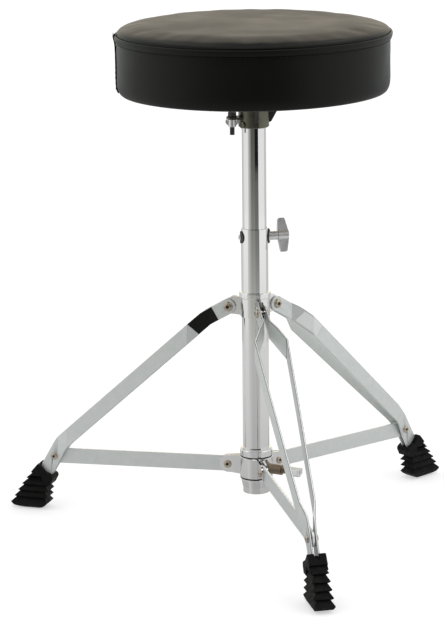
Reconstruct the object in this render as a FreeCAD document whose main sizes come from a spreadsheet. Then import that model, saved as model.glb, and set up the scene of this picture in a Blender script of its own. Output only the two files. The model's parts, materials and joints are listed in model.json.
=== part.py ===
import FreeCAD, Part
import math
import os

import Sketcher

# Drum throne: padded round seat on a height-adjustable post, on a folding three-legged base.
#
# Millimetres, +Z up. The origin is at floor level on the axis of the centre tube. Leg A points along -Y.
# Each leg is drawn in its own plane, with X outwards from the tube's axis, and then turned about Z.

Vector = FreeCAD.Vector
Rotation = FreeCAD.Rotation

doc = FreeCAD.newDocument("drum_throne")
sheet = doc.addObject("Spreadsheet::Sheet", "sizes")
sheet_rows = []
nodes = []


# ---------------------------------------------------------------- sizes that know their sheet formula

class Size:
    """A number together with the sheet formula that gives it."""

    def __init__(self, number, formula):
        self.number = float(number)
        self.formula = formula

    def __add__(self, other):
        other = size(other)
        return Size(self.number + other.number, f"({self.formula} + {other.formula})")

    def __sub__(self, other):
        other = size(other)
        return Size(self.number - other.number, f"({self.formula} - {other.formula})")

    def __mul__(self, other):
        other = size(other)
        return Size(self.number * other.number, f"({self.formula} * {other.formula})")

    def __truediv__(self, other):
        other = size(other)
        return Size(self.number / other.number, f"({self.formula} / {other.formula})")

    def __neg__(self):
        return Size(-self.number, f"(0 - {self.formula})")

    def __radd__(self, other):
        return size(other) + self

    def __rsub__(self, other):
        return size(other) - self

    def __rmul__(self, other):
        return size(other) * self


def size(value):
    """value as a Size; a bare number becomes its own formula."""
    if isinstance(value, Size):
        return value
    return Size(value, f"({float(value):.6f})")


def cell(alias, number):
    """Writes one driving dimension to the sheet and returns it as a Size."""
    sheet_rows.append(alias)
    row = len(sheet_rows)
    sheet.set(f"A{row}", alias)
    sheet.set(f"B{row}", str(number))
    sheet.setAlias(f"B{row}", alias)
    return Size(number, f"sizes.{alias}")


def cosine(angle):
    return Size(math.cos(math.radians(angle.number)), f"cos({angle.formula})")


def sine(angle):
    return Size(math.sin(math.radians(angle.number)), f"sin({angle.formula})")


def heading(start, end):
    """Direction from start to end, in degrees."""
    across = end[0] - start[0]
    up = end[1] - start[1]
    number = math.degrees(math.atan2(up.number, across.number))
    return Size(number, f"(atan2({up.formula}; {across.formula}) / 1 deg)")


# ---------------------------------------------------------------- driving dimensions

# centre tube and post
tube_radius = cell("tube_radius", 14.3)
tube_wall = cell("tube_wall", 1.25)
tube_bottom = cell("tube_bottom", 40)
tube_top = cell("tube_top", 329.5)
plug_inset = cell("plug_inset", 1)
plug_height = cell("plug_height", 12)
post_radius = cell("post_radius", 12.7)
post_wall = cell("post_wall", 1.5)
post_bottom = cell("post_bottom", 222)
post_top = cell("post_top", 470)
notch_top = cell("notch_top", 369.5)
notch_pitch = cell("notch_pitch", 35)
notch_radius = cell("notch_radius", 2.8)

# clearances: between parts that pass each other, and round parts that turn or slide in each other
gap = cell("gap", 0.3)
running_fit = cell("running_fit", 0.05)

# leg, in its own plane: X outwards, Z up
pivot_reach = cell("pivot_reach", 28.6)
pivot_height = cell("pivot_height", 243.4)
slope_top = cell("slope_top", 30)
slope_middle = cell("slope_middle", 42)
slope_low = cell("slope_low", 60.5)
run_top = cell("run_top", 28.5)
run_middle = cell("run_middle", 226.8)
run_low = cell("run_low", 18)
run_in_foot = cell("run_in_foot", 33)
strap_width = cell("strap_width", 16)
strap_thick = cell("strap_thick", 2)
spread_narrow = cell("spread_narrow", 2.6)
spread_wide = cell("spread_wide", 16)
spread_middle = cell("spread_middle", 12.8)
spread_low = cell("spread_low", 6.8)
spread_strut = cell("spread_strut", 2.6)
pin_radius = cell("pin_radius", 2.5)
rivet_head_radius = cell("rivet_head_radius", 5)
rivet_head_height = cell("rivet_head_height", 2.4)
label_thick = cell("label_thick", 0.25)

# struts and sliding collar
strut_reach = cell("strut_reach", 31.2)
strut_height = cell("strut_height", 68.5)
strut_width = cell("strut_width", 17)
strut_thick = cell("strut_thick", 2.5)
lug_thick = cell("lug_thick", 2)
lug_end_radius = cell("lug_end_radius", 9)
sleeve_radius = cell("sleeve_radius", 15.8)
sleeve_bottom = cell("sleeve_bottom", 46.8)
sleeve_top = cell("sleeve_top", 90)
ring_bottom = cell("ring_bottom", 81)
ring_radius = cell("ring_radius", 17.5)
band_radius = cell("band_radius", 17.7)
band_bottom = cell("band_bottom", 57.2)
band_top = cell("band_top", 79.8)

# fixed upper collar
collar_radius = cell("collar_radius", 15.7)
collar_bottom = cell("collar_bottom", 234.3)
collar_top = cell("collar_top", 261.1)
bead_radius = cell("bead_radius", 16.7)
bead_height = cell("bead_height", 6.4)
ear_thick = cell("ear_thick", 4.6)
ear_slot = cell("ear_slot", 1.8)

# clamps
screw_radius = cell("screw_radius", 3)
boss_radius = cell("boss_radius", 4.8)
boss_end = cell("boss_end", 24.7)
clamp_height = cell("clamp_height", 320)
saddle_radius = cell("saddle_radius", 8)
saddle_thick = cell("saddle_thick", 1.4)
washer_radius = cell("washer_radius", 7.2)
washer_thick = cell("washer_thick", 0.8)
wing_span = cell("wing_span", 36)
wing_depth = cell("wing_depth", 11.3)
wing_thick = cell("wing_thick", 5.5)
height_wing_turn = cell("height_wing_turn", -22)
collar_clamp_angle = cell("collar_clamp_angle", -40)
collar_clamp_height = cell("collar_clamp_height", 67)
collar_boss_end = cell("collar_boss_end", 31)
collar_boss_radius = cell("collar_boss_radius", 5.4)
collar_wing_start = cell("collar_wing_start", 41.5)
collar_wing_span = cell("collar_wing_span", 27)
collar_wing_turn = cell("collar_wing_turn", 80)

# seat
seat_radius = cell("seat_radius", 144)
panel_radius = cell("panel_radius", 142.2)
seat_bottom = cell("seat_bottom", 474)
seat_top = cell("seat_top", 545.5)
seam_height = cell("seam_height", 532.5)
cover_thick = cell("cover_thick", 1.5)
cover_opening = cell("cover_opening", 118)
board_radius = cell("board_radius", 137)
board_thick = cell("board_thick", 12)
plate_side = cell("plate_side", 120)
plate_thick = cell("plate_thick", 2.5)
plate_screw_reach = cell("plate_screw_reach", 48)
receiver_radius = cell("receiver_radius", 16.1)
receiver_bottom = cell("receiver_bottom", 437)
gusset_reach = cell("gusset_reach", 32.5)
gusset_thick = cell("gusset_thick", 2.5)
clamp_bolt_reach = cell("clamp_bolt_reach", 24)
clamp_bolt_radius = cell("clamp_bolt_radius", 2.5)
seat_clamp_angle = cell("seat_clamp_angle", 187)
clamp_ear_height = cell("clamp_ear_height", 446.4)
clamp_ear_thick = cell("clamp_ear_thick", 2.2)
nut_wing_sweep = cell("nut_wing_sweep", 7.2)

# feet
foot_centre = cell("foot_centre", 258)
foot_half_width = cell("foot_half_width", 9.6)
rib_pitch = cell("rib_pitch", 7.15)
rib_base = cell("rib_base", 7.2)
rib_depth = cell("rib_depth", 3.2)
foot_slot_floor = cell("foot_slot_floor", 45.6)

legs = {
    "leg_a": cell("leg_a_angle", -90),
    "leg_b": cell("leg_b_angle", 30),
    "leg_c": cell("leg_c_angle", 150),
}

# points of a leg that follow from the driving dimensions
top_pivot = (pivot_reach, pivot_height)
upper_bend = (
    top_pivot[0] + run_top * cosine(slope_top),
    top_pivot[1] - run_top * sine(slope_top),
)
lower_bend = (
    upper_bend[0] + run_middle * cosine(slope_middle),
    upper_bend[1] - run_middle * sine(slope_middle),
)
strut_pivot = (
    lower_bend[0] + run_low * cosine(slope_low),
    lower_bend[1] - run_low * sine(slope_low),
)
strap_end = (
    strut_pivot[0] + run_in_foot * cosine(slope_low),
    strut_pivot[1] - run_in_foot * sine(slope_low),
)
collar_pivot = (strut_reach, strut_height)


# ---------------------------------------------------------------- helpers

def bind(obj, prop, value):
    """Sets obj.prop to a Size through the sheet."""
    obj.setExpression(prop, size(value).formula)


def node(obj, name):
    """Names a finished sub-part. Its label is the name of its file."""
    obj.Label = name
    nodes.append(obj)
    return obj


def place(obj, angle=0, reach=0, side=0, height=0, lean=0, turn=0):
    """Puts a shape drawn in a leg's plane where it belongs.

    It is turned about its own Z, leaned about Y, moved out by reach, sideways and up, and last turned
    about the tube's axis to the leg's or the bolt's direction. A lean of 90 lays Z outwards.
    """
    angle, reach, side = size(angle), size(reach), size(side)
    across = reach * cosine(angle) - side * sine(angle)
    along = reach * sine(angle) + side * cosine(angle)
    spin = (
        f"rotation(vector(0; 0; 1); {angle.formula})"
        f" * rotation(vector(0; 1; 0); {size(lean).formula})"
        f" * rotation(vector(0; 0; 1); {size(turn).formula})"
    )
    spot = f"vector({across.formula}; {along.formula}; {size(height).formula})"
    obj.setExpression("Placement", f"placement({spot}; {spin})")
    return obj


def new_body(name):
    body = doc.addObject("PartDesign::Body", name)
    return body


def origin_plane(body, role):
    for feature in body.Origin.OriginFeatures:
        if feature.Role == role:
            return feature
    raise ValueError(role)


def new_sketch(body, name, role="XZ_Plane"):
    sketch = body.newObject("Sketcher::SketchObject", name)
    sketch.AttachmentSupport = [(origin_plane(body, role), "")]
    sketch.MapMode = "FlatFace"
    return sketch


def draw_polygon(sketch, corners):
    """Closed outline whose corners are each held by two distances from the origin."""
    corners = [(size(x), size(y)) for x, y in corners]
    count = len(corners)
    for i in range(count):
        start = corners[i]
        end = corners[(i + 1) % count]
        line = Part.LineSegment(
            Vector(start[0].number, start[1].number, 0), Vector(end[0].number, end[1].number, 0)
        )
        sketch.addGeometry(line, False)
    for i in range(count):
        sketch.addConstraint(Sketcher.Constraint("Coincident", i, 2, (i + 1) % count, 1))
    for i, (x, y) in enumerate(corners):
        across = sketch.addConstraint(Sketcher.Constraint("DistanceX", -1, 1, i, 1, x.number))
        sketch.setExpression(f"Constraints[{across}]", x.formula)
        up = sketch.addConstraint(Sketcher.Constraint("DistanceY", -1, 1, i, 1, y.number))
        sketch.setExpression(f"Constraints[{up}]", y.formula)
    return sketch


def draw_circles(sketch, centres, radius):
    """Equal circles, each held by its centre and its radius."""
    radius = size(radius)
    for x, y in centres:
        x, y = size(x), size(y)
        index = sketch.addGeometry(
            Part.Circle(Vector(x.number, y.number, 0), Vector(0, 0, 1), radius.number), False
        )
        across = sketch.addConstraint(Sketcher.Constraint("DistanceX", -1, 1, index, 3, x.number))
        sketch.setExpression(f"Constraints[{across}]", x.formula)
        up = sketch.addConstraint(Sketcher.Constraint("DistanceY", -1, 1, index, 3, y.number))
        sketch.setExpression(f"Constraints[{up}]", y.formula)
        around = sketch.addConstraint(Sketcher.Constraint("Radius", index, radius.number))
        sketch.setExpression(f"Constraints[{around}]", radius.formula)
    return sketch


def revolve(body, name, corners):
    """Turns an outline of (radius, height) corners about the body's Z axis."""
    sketch = draw_polygon(new_sketch(body, name + "_outline"), corners)
    feature = body.newObject("PartDesign::Revolution", name)
    feature.Profile = sketch
    feature.ReferenceAxis = (origin_plane(body, "Z_Axis"), [""])
    feature.Angle = 360
    return feature


def pad(body, name, corners, length, role="XZ_Plane", symmetric=True, at=None):
    """Extrudes a polygon, to both sides of its plane unless symmetric is False."""
    sketch = draw_polygon(new_sketch(body, name + "_outline", role), corners)
    if at is not None:
        lift(sketch, at)
    feature = body.newObject("PartDesign::Pad", name)
    feature.Profile = sketch
    feature.SideType = "Symmetric" if symmetric else "One side"
    bind(feature, "Length", length)
    return feature


def lift(sketch, height):
    """Moves a sketch along its plane's normal."""
    sketch.AttachmentOffset = FreeCAD.Placement(Vector(0, 0, size(height).number), Rotation())
    bind(sketch, "AttachmentOffset.Base.z", height)


def drill(body, name, centres, radius, role="XZ_Plane"):
    """Round holes right through, square to one of the body's planes."""
    sketch = draw_circles(new_sketch(body, name + "_circles", role), centres, radius)
    feature = body.newObject("PartDesign::Pocket", name)
    feature.Profile = sketch
    feature.Type = "ThroughAll"
    feature.SideType = "Symmetric"
    return feature


def drill_one_side(body, name, centres, radius, depth, role="YZ_Plane"):
    """Round blind holes that leave the plane towards +X, square to the YZ plane."""
    sketch = draw_circles(new_sketch(body, name + "_circles", role), centres, radius)
    feature = body.newObject("PartDesign::Pocket", name)
    feature.Profile = sketch
    feature.Type = "Length"
    bind(feature, "Length", depth)
    feature.Reversed = True
    return feature


def round_corners(body, name, corners, radius, role="XZ_Plane"):
    """Fillets the edges of the body's tip that run square to the plane through these corners."""
    doc.recompute()
    base = body.Tip
    axis = {"XZ_Plane": Vector(0, 1, 0), "XY_Plane": Vector(0, 0, 1)}[role]
    wanted = []
    for x, y in corners:
        x, y = size(x).number, size(y).number
        spot = Vector(x, 0, y) if role == "XZ_Plane" else Vector(x, y, 0)
        for index, edge in enumerate(base.Shape.Edges):
            if not isinstance(edge.Curve, Part.Line):
                continue
            if edge.Curve.Direction.cross(axis).Length > 1e-6:
                continue
            foot = edge.Vertexes[0].Point
            away = foot.sub(spot)
            if away.sub(axis * away.dot(axis)).Length < 1e-3:
                wanted.append(f"Edge{index + 1}")
    if not wanted:
        raise ValueError(f"{name}: no edge at those corners")
    feature = body.newObject("PartDesign::Fillet", name)
    feature.Base = (base, wanted)
    bind(feature, "Radius", radius)
    return feature


def round_rims(body, name, heights, radius):
    """Fillets the full circles about Z at these heights on the body's tip."""
    doc.recompute()
    base = body.Tip
    wanted = []
    for index, edge in enumerate(base.Shape.Edges):
        if not isinstance(edge.Curve, Part.Circle) or edge.Length < 2 * math.pi * edge.Curve.Radius - 1e-3:
            continue
        centre = edge.Curve.Center
        for height, rim in heights:
            near_axis = math.hypot(centre.x, centre.y) < 1e-3
            at_height = abs(centre.z - size(height).number) < 1e-3
            if near_axis and at_height and abs(edge.Curve.Radius - size(rim).number) < 1e-3:
                wanted.append(f"Edge{index + 1}")
    if not wanted:
        raise ValueError(f"{name}: no rim at those heights")
    feature = body.newObject("PartDesign::Fillet", name)
    feature.Base = (base, wanted)
    bind(feature, "Radius", radius)
    return feature


def common(name, base, tool):
    obj = doc.addObject("Part::Common", name)
    obj.Base = base
    obj.Tool = tool
    return obj


def cut(name, base, tool):
    obj = doc.addObject("Part::Cut", name)
    obj.Base = base
    obj.Tool = tool
    return obj


def fuse(name, shapes):
    obj = doc.addObject("Part::MultiFuse", name)
    obj.Shapes = shapes
    return obj


def group(name, shapes):
    """Several separate solids that share one node."""
    obj = doc.addObject("Part::Compound", name)
    obj.Links = shapes
    return obj


def strip(points, directions, left, right):
    """Outline of a band along a path: left of it by one distance and right of it by another."""
    sides = []
    for distance in (size(left), -size(right)):
        side = []
        for i, (x, y) in enumerate(points):
            before = size(directions[max(i - 1, 0)])
            after = size(directions[min(i, len(directions) - 1)])
            mean = (before + after) / 2
            reach = distance / cosine((after - before) / 2)
            side.append((size(x) - reach * sine(mean), size(y) + reach * cosine(mean)))
        sides.append(side)
    return sides[0] + sides[1][::-1]


def disc(name, radius, start, end):
    """Cylinder along its own Z from start to end."""
    start, end = size(start), size(end)
    body = new_body(name)
    sketch = draw_circles(new_sketch(body, name + "_circle", "XY_Plane"), [(0, 0)], radius)
    lift(sketch, start)
    feature = body.newObject("PartDesign::Pad", name + "_pad")
    feature.Profile = sketch
    bind(feature, "Length", end - start)
    return body


def cross_disc(name, centre, radius, length, gap_length=0):
    """Pin across a leg's plane, centred on it; a gap leaves its middle out."""
    body = new_body(name)
    sketch = draw_circles(new_sketch(body, name + "_circle"), [centre], radius)
    feature = body.newObject("PartDesign::Pad", name + "_pad")
    feature.Profile = sketch
    feature.SideType = "Symmetric"
    bind(feature, "Length", length)
    if size(gap_length).number > 0:
        middle = draw_circles(
            new_sketch(body, name + "_middle"), [centre], size(radius) + 1
        )
        opening = body.newObject("PartDesign::Pocket", name + "_opening")
        opening.Profile = middle
        opening.SideType = "Symmetric"
        bind(opening, "Length", gap_length)
    return body


def rivet(name, centre, grip, head_radius, head_height, middle=0):
    """Rivet across a leg's plane: a pin through the grip with a domed head at each end."""
    pin = cross_disc(name + "_pin", centre, pin_radius, size(grip) * 2, size(middle) * 2)
    parts = [pin]
    for side, label in ((1, "left"), (-1, "right")):
        head = new_body(f"{name}_head_{label}")
        sketch = draw_circles(
            new_sketch(head, f"{name}_{label}_circle", "XY_Plane"), [(0, 0)], head_radius
        )
        dome = head.newObject("PartDesign::Pad", f"{name}_{label}_pad")
        dome.Profile = sketch
        bind(dome, "Length", head_height)
        round_rims(head, f"{name}_{label}_dome", [(head_height, head_radius)], size(head_height) * 0.9)
        lean = f"rotation(vector(1; 0; 0); {-90 * side})"
        spot = (
            f"vector({size(centre[0]).formula};"
            f" {(size(grip) * side).formula}; {size(centre[1]).formula})"
        )
        head.setExpression("Placement", f"placement({spot}; {lean})")
        parts.append(head)
    if size(middle).number > 0:
        return parts
    return [fuse(name + "_whole", parts)]


# ---------------------------------------------------------------- centre tube and its plug

def make_outer_tube():
    body = new_body("outer_tube")
    bore = tube_radius - tube_wall
    revolve(body, "wall", [
        (bore, tube_bottom), (tube_radius, tube_bottom), (tube_radius, tube_top), (bore, tube_top),
    ])
    drill_one_side(body, "boss_hole", [(0, clamp_height)], boss_radius, 20)
    far = draw_circles(new_sketch(body, "rivet_hole_circle", "YZ_Plane"), [(0, clamp_height)], 1.5)
    hole = body.newObject("PartDesign::Pocket", "rivet_hole")
    hole.Profile = far
    bind(hole, "Length", 20)
    return node(body, "outer_tube")


def make_plug():
    """Insert pushed up into the tube's lower end."""
    bottom = tube_bottom + plug_inset
    plug = disc("tube_end_plug", tube_radius - tube_wall, bottom, bottom + plug_height)
    return node(plug, "tube_end_plug")


# ---------------------------------------------------------------- upper collar with its three ears

def make_upper_collar():
    sleeve = new_body("collar_sleeve")
    bead_low = collar_top - bead_height
    revolve(sleeve, "sleeve_wall", [
        (tube_radius, collar_bottom), (collar_radius, collar_bottom), (collar_radius, bead_low),
        (bead_radius, bead_low), (bead_radius, collar_top), (tube_radius, collar_top),
    ])
    round_rims(sleeve, "bead_edges", [(bead_low, bead_radius), (collar_top, bead_radius)], 0.9)
    parts = [sleeve]
    for leg, angle in legs.items():
        ear = new_body(f"{leg}_ear")
        low = pivot_height - 8
        top = collar_top - 6.5
        pad(ear, f"{leg}_ear_plate", [
            (tube_radius + 0.4, collar_bottom + 0.3), (pivot_reach - 2, low), (pivot_reach + 8, low),
            (pivot_reach + 8, pivot_height + 3), (pivot_reach - 3.6, top), (tube_radius + 0.4, top),
        ], ear_thick)
        round_corners(ear, f"{leg}_ear_end", [(pivot_reach + 8, low)], 7.8)
        round_corners(ear, f"{leg}_ear_nose", [(pivot_reach + 8, pivot_height + 3)], 6)
        round_corners(ear, f"{leg}_ear_shoulder", [(pivot_reach - 3.6, top)], 3)
        drill(ear, f"{leg}_ear_hole", [top_pivot], pin_radius + running_fit)
        place(ear, angle)
        slot = new_body(f"{leg}_ear_slot")
        pad(slot, f"{leg}_ear_gap", [
            (collar_radius + 4, low - 5), (pivot_reach + 20, low - 5),
            (pivot_reach + 20, collar_top + 5), (collar_radius + 4, collar_top + 5),
        ], ear_slot)
        place(slot, angle)
        parts.append(cut(f"{leg}_ear_pair", ear, slot))
    return node(fuse("upper_collar", parts), "upper_collar")


# ---------------------------------------------------------------- height clamp

def on_ray(body, angle, height, reach=0, turn=0):
    """Lays a body's own Z axis on the ray at that angle."""
    return place(body, angle, reach, 0, height, 90, turn)


def curved_washer(name, radius, hole, inner, thick, angle, height):
    """Round washer bent to sit on a cylinder about the tube's axis."""
    inner = size(inner)
    shell = new_body(name + "_shell")
    low = size(height) - radius - 2
    high = size(height) + radius + 2
    revolve(shell, name + "_shell_wall", [
        (inner, low), (inner + thick, low), (inner + thick, high), (inner, high),
    ])
    punch = on_ray(disc(name + "_blank", radius, 1, 40), angle, height)
    bore = on_ray(disc(name + "_bore", hole, 0, 41), angle, height)
    return node(cut(name, common(name + "_round", shell, punch), bore), name)


def make_boss(name, radius, start_on, end, bore, angle, height, reach_in):
    """Threaded boss on the tube's side, its foot shaped to the wall that it stands on."""
    outside = on_ray(disc(name + "_bar", radius, reach_in, end), angle, height)
    wall = new_body(name + "_wall")
    revolve(wall, name + "_wall_round", [
        (0, size(height) - 12), (start_on, size(height) - 12),
        (start_on, size(height) + 12), (0, size(height) + 12),
    ])
    hole = on_ray(disc(name + "_hole", bore, 0, size(end) + 5), angle, height)
    return node(cut(name, cut(name + "_foot", outside, wall), hole), name)


def make_wing_bolt(name, start, shank_start, span, depth, thick, angle, height, turn):
    """Wing bolt: shank, hub and two wings, drawn along Z and laid on its ray."""
    span, depth, start = size(span), size(depth), size(start)
    half = span / 2
    wings = new_body(name + "_wings")
    pad(wings, name + "_blade", [
        (half * -0.3, start), (half * 0.3, start), (half, start + depth * 0.13),
        (half, start + depth * 0.74), (half * 0.25, start + depth),
        (half * -0.25, start + depth), (-half, start + depth * 0.74), (-half, start + depth * 0.13),
    ], thick)
    round_corners(wings, name + "_tips", [
        (half, start + depth * 0.13), (half, start + depth * 0.74),
        (-half, start + depth * 0.74), (-half, start + depth * 0.13),
    ], 1.6)
    hub = disc(name + "_hub", size(thick) * 0.95, start, start + depth)
    shank = disc(name + "_shank", screw_radius, shank_start, start + 1)
    dimple = disc(name + "_dimple", 2.2, start + depth - 1, start + depth + 1)
    whole = cut(name, fuse(name + "_solid", [wings, hub, shank]), dimple)
    on_ray(whole, angle, height, 0, turn)
    return node(whole, name)


def make_height_clamp():
    bore = tube_radius - tube_wall
    make_boss(
        "height_boss", boss_radius, bore + 0.15, boss_end, screw_radius + running_fit,
        0, clamp_height, 5,
    )
    curved_washer(
        "height_saddle_right", saddle_radius, boss_radius, tube_radius, saddle_thick, 0, clamp_height
    )
    curved_washer(
        "height_washer", washer_radius, boss_radius, tube_radius + saddle_thick, washer_thick,
        0, clamp_height,
    )
    curved_washer("height_saddle_left", 6.5, 1.5, tube_radius, 1.2, 180, clamp_height)
    head = disc("stop_head", 2.75, tube_radius + 1.2, tube_radius + 3.6)
    round_rims(head, "stop_head_dome", [(tube_radius + 3.6, 2.75)], 2.2)
    shank = disc("stop_shank", 1.5, bore + 0.2, tube_radius + 2)
    stop = fuse("height_stop_rivet", [head, shank])
    on_ray(stop, 180, clamp_height)
    node(stop, "height_stop_rivet")
    make_wing_bolt(
        "height_wing_bolt", boss_end + gap, post_radius + gap, wing_span, wing_depth, wing_thick,
        0, clamp_height, height_wing_turn,
    )


# ---------------------------------------------------------------- sliding collar

def make_lower_collar():
    bore = tube_radius + running_fit
    sleeve = new_body("lower_sleeve")
    revolve(sleeve, "lower_wall", [
        (bore, sleeve_bottom), (bore + 0.6, sleeve_bottom), (sleeve_radius + 0.4, sleeve_bottom + 6.5),
        (sleeve_radius + 0.4, band_bottom - 1.2), (sleeve_radius, band_bottom - 1.2),
        (sleeve_radius, ring_bottom), (ring_radius, ring_bottom),
        (ring_radius, sleeve_top - 1.6), (ring_radius - 1, sleeve_top - 1.6), (ring_radius - 1, sleeve_top),
        (bore, sleeve_top),
    ])
    round_rims(sleeve, "lower_ring_edges", [
        (ring_bottom, ring_radius), (sleeve_top - 1.6, ring_radius),
    ], 0.9)
    hole = on_ray(
        disc("sleeve_screw_hole", screw_radius + gap, 0, 30), collar_clamp_angle, collar_clamp_height
    )
    node(cut("fold_sleeve", sleeve, hole), "fold_sleeve")

    band = new_body("lower_band_wall")
    revolve(band, "band_wall", [
        (sleeve_radius, band_bottom), (band_radius - 0.5, band_bottom), (band_radius, band_bottom + 0.5),
        (band_radius, band_top - 0.5), (band_radius - 0.5, band_top), (sleeve_radius, band_top),
    ])
    parts = [band]
    inner = strut_thick / 2 + gap
    for leg, angle in legs.items():
        for side, label in ((1, "left"), (-1, "right")):
            lug = new_body(f"{leg}_lug_{label}")
            end = strut_reach + lug_end_radius
            low = strut_height - lug_end_radius
            high = strut_height + lug_end_radius
            pad(lug, f"{leg}_lug_plate_{label}", [
                (sleeve_radius + 0.2, low - 1), (strut_reach - 4, low), (end, low), (end, high),
                (strut_reach - 4, high + 1.2), (sleeve_radius + 0.2, high + 2.2),
            ], lug_thick)
            round_corners(lug, f"{leg}_lug_end_{label}", [(end, low), (end, high)], lug_end_radius * 0.98)
            drill(lug, f"{leg}_lug_hole_{label}", [collar_pivot], pin_radius)
            place(lug, angle, 0, (inner + lug_thick / 2) * side)
            parts.append(lug)
    hole = on_ray(
        disc("band_screw_hole", screw_radius + gap, 0, 30), collar_clamp_angle, collar_clamp_height
    )
    node(cut("fold_band", fuse("band_and_lugs", parts), hole), "fold_band")

    rivets = []
    for leg, angle in legs.items():
        for piece in rivet(f"{leg}_lug_rivet", collar_pivot, inner + lug_thick, 4.4, 1.3):
            well = cross_disc(f"{leg}_lug_well", collar_pivot, 1.5, 30, size(inner + lug_thick) * 2)
            rivets.append(place(cut(f"{leg}_lug_rivet_hollow", piece, well), angle))
    node(group("fold_lug_rivets", rivets), "fold_lug_rivets")

    make_boss(
        "fold_boss", collar_boss_radius, band_radius, collar_boss_end, screw_radius + running_fit,
        collar_clamp_angle, collar_clamp_height, 12,
    )
    make_wing_bolt(
        "fold_wing_bolt", collar_wing_start, tube_radius + gap, collar_wing_span, 10, wing_thick,
        collar_clamp_angle, collar_clamp_height, collar_wing_turn,
    )


# ---------------------------------------------------------------- legs

spread_path = [
    (pivot_reach - 12, spread_narrow),
    (pivot_reach + 22, spread_narrow),
    (pivot_reach + 42, spread_wide),
    (pivot_reach + 96, spread_middle),
    (strut_pivot[0] - 17, spread_low),
    (strut_pivot[0] - 5, spread_strut),
    (strut_pivot[0] + 5, spread_strut - 0.4),
    (strut_pivot[0] + 30, spread_strut - 0.6),
]


def leg_outline(body, name, start, end, half, first_slope, width=80):
    """Side view of the leg from start to end, as wide as half on each side of its centre line."""
    points = [start]
    slopes = []
    if first_slope == "top":
        points.append(upper_bend)
        slopes.append(-slope_top)
    points.append(lower_bend)
    slopes.append(-slope_middle)
    points.append(end)
    slopes.append(-slope_low)
    corners = strip(points, slopes, half, half)
    pad(body, name, corners, width)
    return corners


def spread_ribbon(name, side, inner_shift, thick):
    """Top view of one strap, or of a skin on it, as an upright sheet that follows the spread."""
    body = new_body(name)
    directions = [heading(a, b) for a, b in zip(spread_path, spread_path[1:])]
    corners = strip(spread_path, directions, size(inner_shift) + thick, -size(inner_shift))
    if side < 0:
        corners = [(x, -size(y)) for x, y in corners]
    pad(body, name + "_sheet", corners, 300, "XY_Plane", symmetric=False)
    return body


def make_strap(leg, angle, side, label):
    name = f"{leg}_strap_{label}"
    half = strap_width / 2
    profile = new_body(name + "_profile")
    start = (
        top_pivot[0] - half * cosine(slope_top),
        top_pivot[1] + half * sine(slope_top),
    )
    corners = leg_outline(profile, name + "_side", start, strap_end, half, "top")
    count = len(corners) // 2
    round_corners(profile, name + "_end", [corners[0], corners[-1]], half * 0.98)
    round_corners(profile, name + "_upper_outside", [corners[1]], 46)
    round_corners(profile, name + "_lower_outside", [corners[2]], 46)
    round_corners(profile, name + "_upper_inside", [corners[2 * count - 2]], 30)
    round_corners(profile, name + "_lower_inside", [corners[2 * count - 3]], 30)
    drill(profile, name + "_pin_hole", [top_pivot, strut_pivot], pin_radius)
    ribbon = spread_ribbon(name + "_ribbon", side, 0, strap_thick)
    strap = common(name, profile, ribbon)
    place(strap, angle)
    return node(strap, name)


def make_label(name, angle, side, start_run, length, width):
    """Thin blank label on the outside of a strap, over or below its upper bend."""
    start_run, length = size(start_run), size(length)
    profile = new_body(name + "_profile")
    if start_run.number < run_top.number:
        start = (
            top_pivot[0] + start_run * cosine(slope_top),
            top_pivot[1] - start_run * sine(slope_top),
        )
        rest = length - (run_top - start_run)
        end = (
            upper_bend[0] + rest * cosine(slope_middle),
            upper_bend[1] - rest * sine(slope_middle),
        )
        points = [start, upper_bend, end]
        slopes = [-slope_top, -slope_middle]
    else:
        rest = start_run - run_top
        start = (
            upper_bend[0] + rest * cosine(slope_middle),
            upper_bend[1] - rest * sine(slope_middle),
        )
        end = (
            start[0] + length * cosine(slope_middle),
            start[1] - length * sine(slope_middle),
        )
        points = [start, end]
        slopes = [-slope_middle]
    corners = strip(points, slopes, size(width) / 2, size(width) / 2)
    pad(profile, name + "_side", corners, 80)
    ribbon = spread_ribbon(name + "_ribbon", side, strap_thick, label_thick)
    label = common(name, profile, ribbon)
    place(label, angle)
    return node(label, name)


def rib_side(tips, depth):
    """Saw-toothed edge from the top down: each rib slopes out to a tip that is flat below."""
    edge = []
    for i in reversed(range(len(tips))):
        height = rib_base + rib_pitch * i
        above = tips[min(i + 1, len(tips) - 1)]
        edge += [(above - depth, height + 5.3), (tips[i], height)]
    return edge


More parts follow.
